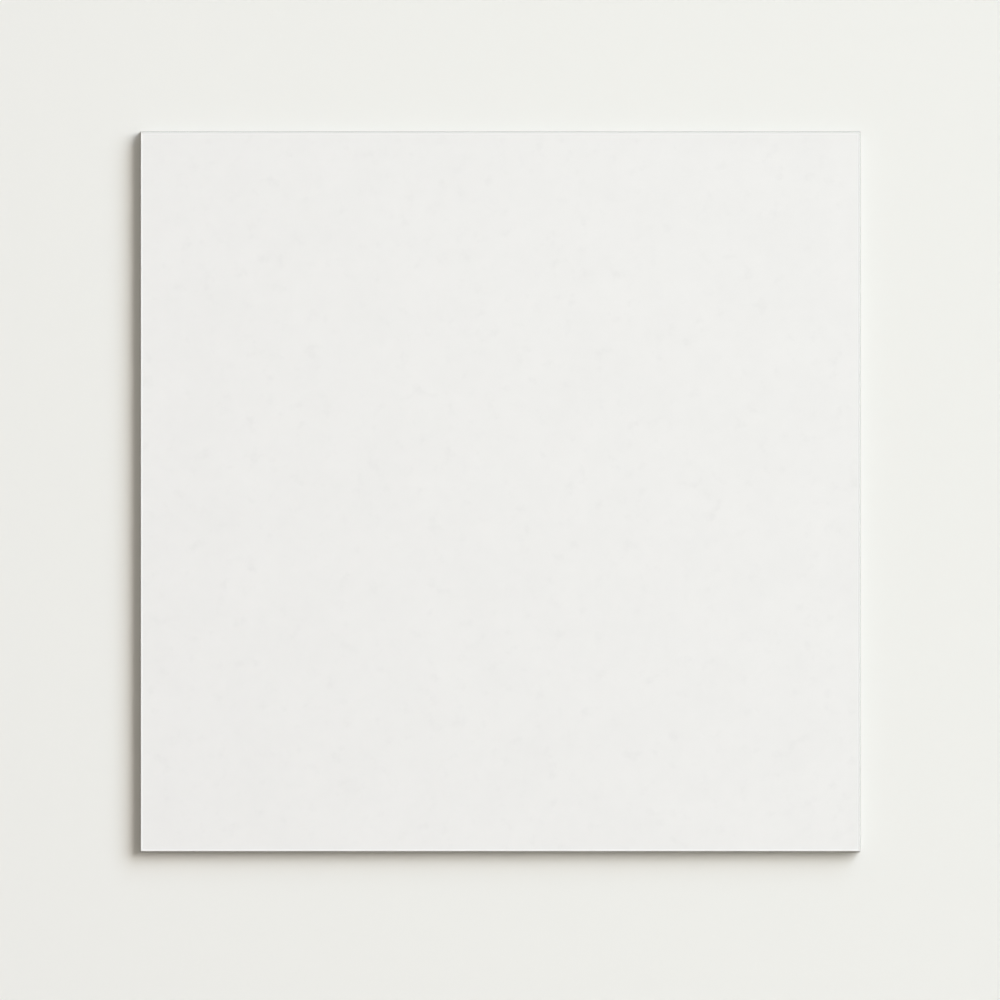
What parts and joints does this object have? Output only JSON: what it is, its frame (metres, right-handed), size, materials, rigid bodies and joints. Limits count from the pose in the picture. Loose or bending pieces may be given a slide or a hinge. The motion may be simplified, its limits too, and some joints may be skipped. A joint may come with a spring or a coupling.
{
  "type": "porcelain tile",
  "caption": "Plain white matt square porcelain tile, ground to size, with a fine bevel round the face and a grid of keying pockets in the back.",
  "frame": {"origin": "centre of the back, in the plane of its ribs and rim, where the tile beds", "axes": "+Z out of the face, +X and +Y square to the ground sides"},
  "size_m": [0.6, 0.6, 0.01],
  "materials": {
    "porcelain": "matte"
  },
  "bodies": {
    "root": {"tile": "porcelain"}
  },
  "joints": []
}
